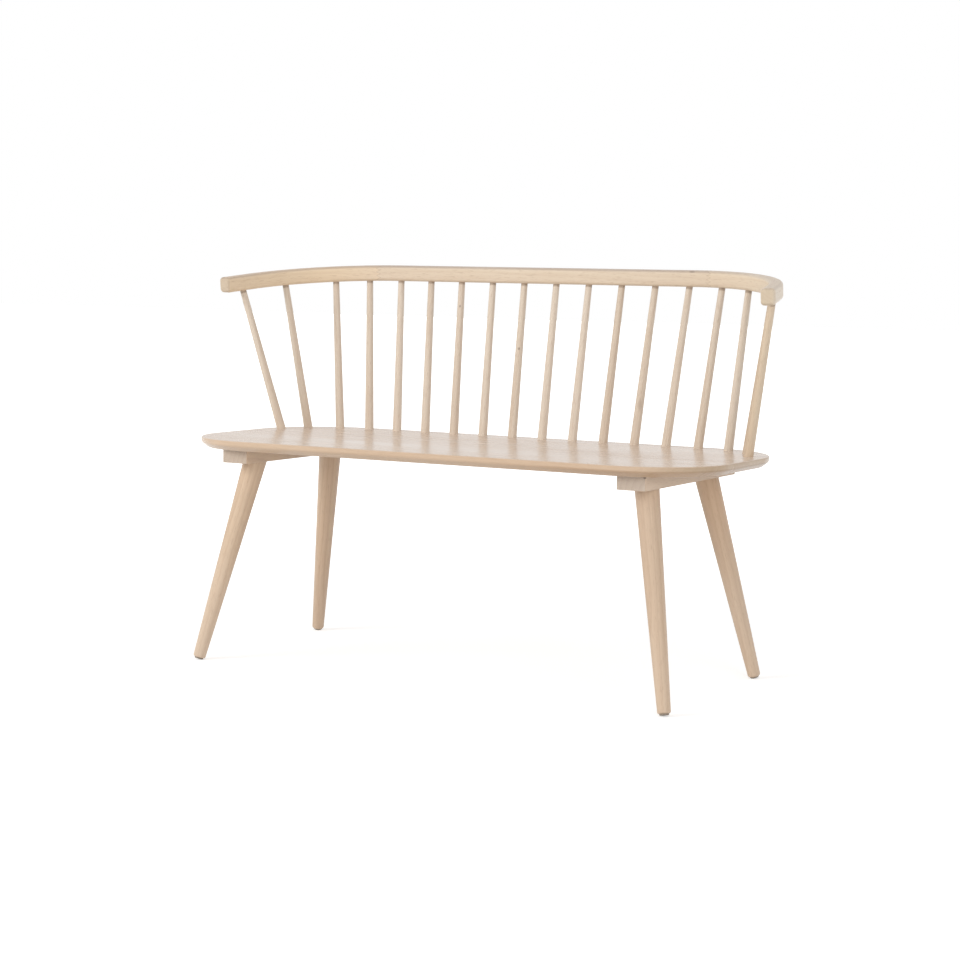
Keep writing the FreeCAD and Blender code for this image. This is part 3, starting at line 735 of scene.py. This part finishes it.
def makeSpindles(material):
    sides = [(-1, step) for step in reversed(range(spindles["perSide"]))]
    sides += [(1, step) for step in range(spindles["perSide"])]
    lines = [spindleLine(side, step) for side, step in sides]
    lengths = [(head - foot).length for foot, head in lines]
    numbers = {
        "up": [(0.0, 1.0)] * len(lines),
        "run": [(0.0, length) for length in lengths],
        "length": [(length, length) for length in lengths],
        "number": [(float(n), float(n)) for n in range(len(lines))],
    }
    values = {name: spindles[name] for name in ("intoRail", "rings", "sides", "seed")} | {
        "seatRadius": spindles["seatDiameter"] / 2, "railRadius": spindles["railDiameter"] / 2,
        "wood": material,
    }
    return runTree("spindles", makeSpindleTree(values), meshOfLines("spindles", lines, numbers), values)


def attributeGrain(tree):
    return readAttribute(tree, "grainPlace", "Vector")


def attributeTone(low, high):
    return lambda tree: remap(tree, readAttribute(tree, "pieceTone", "Fac"), 0.0, 1.0, low, high)


spindleLook = woodLook | {
    "pale": (0.785, 0.694, 0.583), "deep": (0.605, 0.480, 0.368),
    "streakShade": 0.24, "fibreShade": 0.22, "cloudShade": 0.15, "tones": (0.0, 0.30),
    "warmFrom": (0.44, 0.56), "warm": (0.96, 0.91, 0.82),     # at the right-hand end, in x
    "rim": (0.30, 0.21, 0.14),                # painted shade under the rail
    "railShadeLine": (0.004, 0.0080, 0.66, 0.0),    # metres below the rail, and how dark
}


def spindleEnds(tree, colour):
    rightEnd = fade(tree, toNumbers(tree, objectPlace(tree))[0], *spindleLook["warmFrom"])
    colour = tint(tree, rightEnd, colour, spindleLook["warm"])
    # Painted shade: a dark band on each spindle just under the rail
    line = fade(tree, readAttribute(tree, "underRail", "Fac"), *spindleLook["railShadeLine"])
    return mixColour(tree, line, colour, (*spindleLook["rim"], 1))


spindleWood = makeWood("spindleWood", spindleLook, attributeGrain, knots=spindles["knots"],
                       tone=attributeTone(*spindleLook["tones"]), extra=spindleEnds)
spindleSet = makeSpindles(spindleWood)
finishPiece(spindleSet, "spindle_wood", *(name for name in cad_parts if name.startswith("spindle_")))


# Battens: plain bars with softened edges, countersunk from below for their screws
battens = {
    "softEdge": 0.0016, "softSteps": 3, "sharpFrom": 40,      # degrees
    "logPlaces": {"left": (0.0, 0.36, -0.39), "right": (3.1, -0.50, -0.385)},
    "knots": [((0.4600, -0.2275, 0.4280), (0.004, 0.004, 0.0035), 0.85)],
}
screws = {
    "diameter": 0.0045, "headDiameter": 0.009, "headHeight": 0.0035, "length": 0.038, "point": 0.005,
    "edgeBreak": 0.0002, "tip": 0.0004, "sides": 24, "sharpFrom": 30,     # degrees
    "turn": 0.9,                              # radians from one screw to the next
    "recessLength": 0.0052, "recessWidth": 0.0011, "recessDepth": 0.0022,
    "wayFit": 0.00025, "wayDrop": 0.001,      # round the screw, and how far the cutter stands out below
    "shares": (0.28, 0.66),                   # of the way from the seat's middle to a leg
}
legs = {
    "topDiameter": 0.0465, "footDiameter": 0.025, "topRound": 0.0012, "footRound": 0.0035,
    "splaySide": 0.0805, "splay": {-1: 0.0785, 1: 0.0845},    # by side: -1 front, 1 back
    "fromEdge": {-1: 0.107, 1: 0.113},
    "glideThickness": 0.003, "glideFlatRadius": 0.008, "rings": 110, "sides": 64, "seed": 3,
    "logLow": (0.0, 0.03, 0.02), "logHigh": (30.0, 0.14, 0.12),
    "tones": (-0.25, 0.20, 0.25, 0.12),       # front left, front right, back left, back right
}
battenLow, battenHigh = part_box("batten_right")
battenX = (battenLow.x + battenHigh.x) / 2
battenUnder = battenLow.z
seatMiddleY = (seatHigh.y + seatLow.y) / 2
legFromMiddle = {side: side * ((seatHigh.y - seatLow.y) / 2 - legs["fromEdge"][side]) for side in (-1, 1)}
screwPlaces = [(end * battenX, seatMiddleY + share * legFromMiddle[side], battenUnder)
               for end in (-1, 1) for side in (-1, 1) for share in screws["shares"]]


def cutBy(piece, cutter):
    modifier = piece.modifiers.new("cut", "BOOLEAN")
    modifier.operation = "DIFFERENCE"
    modifier.solver = "EXACT"
    modifier.object = cutter
    depsgraph = bpy.context.evaluated_depsgraph_get()
    mesh = bpy.data.meshes.new_from_object(piece.evaluated_get(depsgraph), depsgraph=depsgraph)
    piece.modifiers.remove(modifier)
    piece.data = mesh
    bpy.data.objects.remove(cutter)


# Round ways for the screws, with countersunk mouths
def makeScrewWays(low, high):
    head, shank = screws["headDiameter"] / 2, screws["diameter"] / 2
    slope = (head - shank) / screws["headHeight"]
    drop, depth = screws["wayDrop"], screws["headHeight"] + screws["wayFit"]
    mouth = head + screws["wayFit"]
    ways = bmesh.new()
    for x, y, z in screwPlaces:
        if low.x < x < high.x:
            place = Matrix.Translation((x, y, z + (depth - drop) / 2))
            bmesh.ops.create_cone(ways, cap_ends=True, segments=screws["sides"], matrix=place,
                                  radius1=mouth + slope * drop, radius2=mouth - slope * depth,
                                  depth=depth + drop)
    return objectFrom("screwWays", ways)


def makeBatten(name, node, material):
    low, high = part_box(node)
    shape = bmesh.new()
    place = Matrix.Translation((low + high) / 2) @ Matrix.Diagonal((*(high - low), 1))
    bmesh.ops.create_cube(shape, size=1, matrix=place)
    bmesh.ops.bevel(shape, geom=shape.edges[:], offset=battens["softEdge"], segments=battens["softSteps"],
                    profile=0.5, affect="EDGES")
    batten = objectFrom(name, shape)
    cutBy(batten, makeScrewWays(low, high))
    batten.data.materials.clear()
    batten.data.materials.append(material)
    batten.data.name = name
    batten.data.shade_smooth()
    batten.data.set_sharp_from_angle(angle=math.radians(battens["sharpFrom"]))
    batten.modifiers.new("flats", "WEIGHTED_NORMAL").keep_sharp = True
    return batten


battenLook = woodLook | {
    "pale": (0.70, 0.53, 0.37), "ringShade": 0.4, "chalk": 0.25,
    "endFace": (0.80, 0.98), "endGrain": (0.82, 0.88, 0.98),
}


def battenEnd(tree, colour):
    low, high = battenLook["endFace"]
    sawn = maths(tree, "MAXIMUM", facing(tree, 1, low, high), facing(tree, 1, -low, -high))
    return tint(tree, sawn, colour, battenLook["endGrain"])


# The battens' grain runs front to back
def battenGrain(logPlace):
    def grain(tree):
        x, y, z = toNumbers(tree, objectPlace(tree))
        return vectorMaths(tree, "ADD", toVector(tree, y, x, z), logPlace)
    return grain


for side, logPlace in battens["logPlaces"].items():
    wood = makeWood(f"battenWood{side.title()}", battenLook, battenGrain(logPlace), extra=battenEnd,
                    knots=battens["knots"])
    batten = makeBatten(f"batten{side.title()}", f"batten_{side}", wood)
    finishPiece(batten, "underframe_wood", f"batten_{side}")
print("battens made")


# Countersunk cross-recess screws in the undersides of the battens
def makeScrewTree(pattern, values):
    tree, given = newTree("battenScrews", values)
    info = addNode(tree, "GeometryNodeObjectInfo", {"Object": pattern}, transform_space="ORIGINAL")
    inputs = {"Points": given["Geometry"], "Instance": info.outputs["Geometry"]}
    spread = result(tree, "GeometryNodeInstanceOnPoints", inputs)
    index = result(tree, "GeometryNodeInputIndex")
    turn = toVector(tree, 0.0, 0.0, times(tree, index, screws["turn"]))
    spread = result(tree, "GeometryNodeRotateInstances", {"Instances": spread, "Rotation": turn})
    endTree(tree, spread, given["steel"])
    return tree


def makeScrewPattern():
    head, shank, reach = screws["headDiameter"] / 2, screws["diameter"] / 2, screws["length"]
    heights = [(0.0, head - screws["edgeBreak"]), (screws["edgeBreak"], head),
               (screws["headHeight"], shank), (reach - screws["point"], shank), (reach, screws["tip"])]
    turns = [math.tau * n / screws["sides"] for n in range(screws["sides"])]
    shape = bmesh.new()
    rings = [[shape.verts.new((radius * math.cos(turn), radius * math.sin(turn), height)) for turn in turns]
             for height, radius in heights]
    closeRings(shape, rings[::-1])
    screw = objectFrom("screwPattern", shape)
    long, wide, deep = screws["recessLength"], screws["recessWidth"], screws["recessDepth"]
    for size in ((long, wide), (wide, long)):
        recess = bmesh.new()
        bmesh.ops.create_cube(recess, size=1, matrix=Matrix.Diagonal((*size, 2 * deep, 1)))
        cutBy(screw, objectFrom("recess", recess))
    return screw


def makeScrews(material):
    pattern, values = makeScrewPattern(), {"steel": material}
    start = bpy.data.meshes.new("battenScrews")
    start.from_pydata(screwPlaces, [], [])
    made = runTree("battenScrews", makeScrewTree(pattern, values), start, values)
    bpy.data.objects.remove(pattern)
    made.data.set_sharp_from_angle(angle=math.radians(screws["sharpFrom"]))
    return made


# Steel and moulded plastic: two tones, uneven gloss and a fine relief, each with its noise
steelLook = {
    "tones": (260.0, 3.0, 0.6), "toneSpan": (0.35, 0.7),
    "first": (0.62, 0.62, 0.60), "second": (0.46, 0.46, 0.47),
    "gloss": (260.0, 3.0, 0.6), "roughness": (0.26, 0.46), "metallic": 1.0,
    "relief": (900.0, 2.0, 0.5), "stretch": (1.0, 1.0, 12.0), "bump": 0.15, "bumpDepth": 0.0001,
}
plasticLook = {
    "tones": (60.0, 2.0, 0.5), "toneSpan": (0.4, 0.7),        # dust
    "first": (0.27, 0.22, 0.17), "second": (0.37, 0.32, 0.26),
    "gloss": (700.0, 3.0, 0.6), "roughness": (0.5, 0.7), "metallic": 0.0,
    "relief": (700.0, 3.0, 0.6), "stretch": (1.0, 1.0, 1.0), "bump": 0.2, "bumpDepth": 0.0001,
}


def makePlain(name, look):
    material, tree, shader = newMaterial(name)
    place = objectPlace(tree)
    tones = remap(tree, noise(tree, place, *look["tones"]), *look["toneSpan"])
    colour = mixColour(tree, tones, (*look["first"], 1), (*look["second"], 1))
    tree.links.new(colour, shader.inputs["Base Color"])
    gloss = remap(tree, noise(tree, place, *look["gloss"]), *noiseSpan, *look["roughness"])
    tree.links.new(gloss, shader.inputs["Roughness"])
    relief = noise(tree, vectorMaths(tree, "MULTIPLY", place, look["stretch"]), *look["relief"])
    addBump(tree, shader, look["bump"], look["bumpDepth"], relief)
    shader.inputs["Metallic"].default_value = look["metallic"]
    return material


zincSteel = makePlain("zincSteel", steelLook)
battenScrews = makeScrews(zincSteel)
finishPiece(battenScrews, "fastener_steel", "batten_screws")


# Legs: turned cones, square at the foot and sawn level at the batten
def makeLegTree(values):
    tree, given = newTree("turnedLegs", values)
    curves, rim = turningCurves(tree, given)
    # A tube of radius 1 first, with its rings close together at both ends, where the edges are rounded
    eased = maths(tree, "COSINE", times(tree, namedAttribute(tree, "up"), math.pi))
    upright = toVector(tree, 0.0, 0.0, maths(tree, "MULTIPLY_ADD", eased, -0.5, 0.5))
    tube = sweepAlong(tree, moveTo(tree, curves, upright), rim)
    # Then each point goes to its place round the leg's own axis. All lines along the leg end at one level.
    place = toNumbers(tree, result(tree, "GeometryNodeInputPosition"))
    foot, axis = (namedAttribute(tree, name, "FLOAT_VECTOR") for name in ("foot", "axis"))
    aside = vectorMaths(tree, "NORMALIZE", vectorMaths(tree, "CROSS_PRODUCT", (0.0, 1.0, 0.0), axis))
    back = vectorMaths(tree, "CROSS_PRODUCT", axis, aside)
    outward = vectorMaths(tree, "ADD", scaleVector(tree, aside, place[0]),
                          scaleVector(tree, back, place[1]))
    wider = minus(tree, given["topRadius"], given["footRadius"])
    taper = maths(tree, "DIVIDE", wider, namedAttribute(tree, "length"))
    rise, lift = toNumbers(tree, outward)[2], toNumbers(tree, axis)[2]
    tall = minus(tree, given["under"], toNumbers(tree, foot)[2])
    tall = minus(tree, tall, times(tree, rise, given["footRadius"]))
    tall = maths(tree, "DIVIDE", tall, maths(tree, "MULTIPLY_ADD", rise, taper, lift))
    travel = times(tree, place[2], tall)
    radius = maths(tree, "MULTIPLY_ADD", taper, travel, given["footRadius"])
    for edge, toEnd in (("topRound", minus(tree, tall, travel)), ("footRound", travel)):
        radius = minus(tree, radius, drawIn(tree, given[edge], toEnd))
    placed = vectorMaths(tree, "ADD", scaleVector(tree, axis, travel), scaleVector(tree, outward, radius))
    across = [times(tree, place[way], radius) for way in (0, 1)]
    grain = placeInLog(tree, given["seed"], legs, toVector(tree, travel, *across))
    tube = storeAttribute(tree, tube, "grainPlace", grain, "FLOAT_VECTOR")
    endTree(tree, moveTo(tree, tube, vectorMaths(tree, "ADD", foot, placed)), given["wood"])
    return tree


# The centre of the leg's foot on its glide, the way up along the leg, and the leg's length on its axis
def legAxis(end, side):
    top = Vector((end * battenX, seatMiddleY + legFromMiddle[side], battenUnder))
    way = Vector((-end * legs["splaySide"], -side * legs["splay"][side], battenUnder)).normalized()
    floor = top - way * (battenUnder / way.z)
    glideFoot = floor + way * (legs["glideFlatRadius"] * math.tan(math.acos(way.z)))
    return glideFoot + way * legs["glideThickness"], way, (top - glideFoot).length


def makeLegs(material):
    axes = [legAxis(end, side) for side in (-1, 1) for end in (-1, 1)]
    feet, ways, lengths = zip(*axes)
    same = {"number": [float(n) for n in range(len(axes))], "pieceTone": legs["tones"], "foot": feet,
            "axis": ways, "length": lengths}
    numbers = {name: [(value, value) for value in values] for name, values in same.items()}
    start = meshOfLines("legs", [(foot, foot + way * length) for foot, way, length in axes],
                        {"up": [(0.0, 1.0)] * len(axes)} | numbers)
    values = {name: legs[name] for name in ("topRound", "footRound", "rings", "sides", "seed")} | {
        "topRadius": legs["topDiameter"] / 2, "footRadius": legs["footDiameter"] / 2, "under": battenUnder,
        "wood": material,
    }
    return runTree("legs", makeLegTree(values), start, values)


legLook = woodLook | {
    "pale": (0.75, 0.58, 0.42), "streakShade": 0.35,
    "shadedLegAfter": 2.5,             # number of the leg, counted from 0
    # painted shade at the top of the back right leg
    "warmFrom": (0.08, 0.42), "warm": (0.90, 0.82, 0.73),
}


# Painted shade: the last leg, the back right one, turns darker and warmer towards its top, under the seat
def legTopShade(tree, colour):
    last = maths(tree, "GREATER_THAN", readAttribute(tree, "number", "Fac"), legLook["shadedLegAfter"])
    upper = fade(tree, toNumbers(tree, objectPlace(tree))[2], *legLook["warmFrom"])
    return tint(tree, times(tree, last, upper), colour, legLook["warm"])


hiddenSteel = ("leg_bolts", "leg_inserts")
legWood = makeWood("legWood", legLook, attributeGrain, tone=attributeTone(0.0, 1.0), extra=legTopShade)
legSet = makeLegs(legWood)
finishPiece(legSet, "underframe_wood", *(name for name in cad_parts
                                         if name.startswith("leg_") and name not in hiddenSteel))


# Glides keep their CAD shape and get moulded plastic; the hidden bolts and inserts get steel
glidePlastic = makePlain("glidePlastic", plasticLook)
for name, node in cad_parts.items():
    if name.startswith("glide_"):
        node.material_slots[0].material = glidePlastic
    elif name in hiddenSteel:
        node.material_slots[0].material = zincSteel
print("legs, glides and fixings done")


# Studio: white surroundings, a pale floor that keeps the shadow, soft light from the sides
studio = {
    "lightLow": 0.90,             # world light at the horizon
    "lightHigh": 0.42,            # and overhead
    "overhead": 0.9,              # height on the sky's sphere where it counts as overhead
    "floorSize": 30, "floorCells": 8, "floorColour": 0.80, "floorRoughness": 0.9,
    "glowNear": 0.50,             # white added to the floor where it is seen, under the bench
    "glowFar": 0.95,              # and further out, where the lamps fade
    "glowSpan": (0.9, 3.0),       # metres from the bench's middle
    "aim": (0, 0, 0.45),          # all lamps point at the seat
    "lamps": {                    # place, size and power in watts
        "keyLamp": ((-2.8, -3.6, 2.4), 2.4, 92.0),
        "topLamp": ((0.3, -0.6, 3.4), 2.6, 10.0),
        "rightLamp": ((3.2, -2.9, 1.5), 2.0, 34.0),
    },
}


def seenDirectly(tree):
    path = tree.nodes.new("ShaderNodeLightPath").outputs
    glossy = maths(tree, "MAXIMUM", path["Is Camera Ray"], path["Is Glossy Ray"])
    return maths(tree, "MAXIMUM", glossy, path["Is Transmission Ray"])


def makeWorld():
    world = bpy.data.worlds.new("whiteStudio")
    world.use_nodes = True
    tree = world.node_tree
    background = tree.nodes["Background"]
    background.inputs["Color"].default_value = (1, 1, 1, 1)
    height = toNumbers(tree, addNode(tree, "ShaderNodeTexCoord").outputs["Generated"])[2]
    light = remap(tree, height, 0.0, studio["overhead"], studio["lightLow"], studio["lightHigh"])
    strength = remap(tree, seenDirectly(tree), 0.0, 1.0, light, 1.0)
    tree.links.new(strength, background.inputs["Strength"])
    bpy.context.scene.world = world


def makeFloor():
    shape = bmesh.new()
    cells, level = studio["floorCells"], studio["floorColour"]
    bmesh.ops.create_grid(shape, x_segments=cells, y_segments=cells, size=studio["floorSize"])
    floor = objectFrom("paleFloor", shape)
    material, tree, shader = newMaterial("paleFloor")
    shader.inputs["Base Color"].default_value = (level, level, level, 1)
    shader.inputs["Roughness"].default_value = studio["floorRoughness"]
    shader.inputs["Specular IOR Level"].default_value = 0.0
    away = vectorMaths(tree, "LENGTH", objectPlace(tree))
    strength = fade(tree, away, *studio["glowSpan"], studio["glowNear"], studio["glowFar"])
    glow = result(tree, "ShaderNodeEmission", {"Strength": strength})
    both = result(tree, "ShaderNodeAddShader", {0: shader.outputs[0], 1: glow})
    inputs = {0: seenDirectly(tree), 1: shader.outputs[0], 2: both}
    mixed = result(tree, "ShaderNodeMixShader", inputs)
    tree.links.new(mixed, tree.nodes["Material Output"].inputs["Surface"])
    floor.data.materials.append(material)


def makeLamps():
    for name, (place, size, power) in studio["lamps"].items():
        data = bpy.data.lights.new(name, "AREA")
        data.shape = "DISK"
        data.size = size
        data.energy = power
        lamp = bpy.data.objects.new(name, data)
        lamp.visible_glossy = False       # gloss shows the white studio, not the lamps
        turn = (Vector(studio["aim"]) - Vector(place)).to_track_quat("-Z", "Y").to_matrix().to_4x4()
        lamp.matrix_world = Matrix.Translation(Vector(place)) @ turn
        bpy.context.collection.objects.link(lamp)


makeWorld()
makeFloor()
makeLamps()
bpy.context.scene.view_settings.view_transform = "Standard"
print("studio lit")
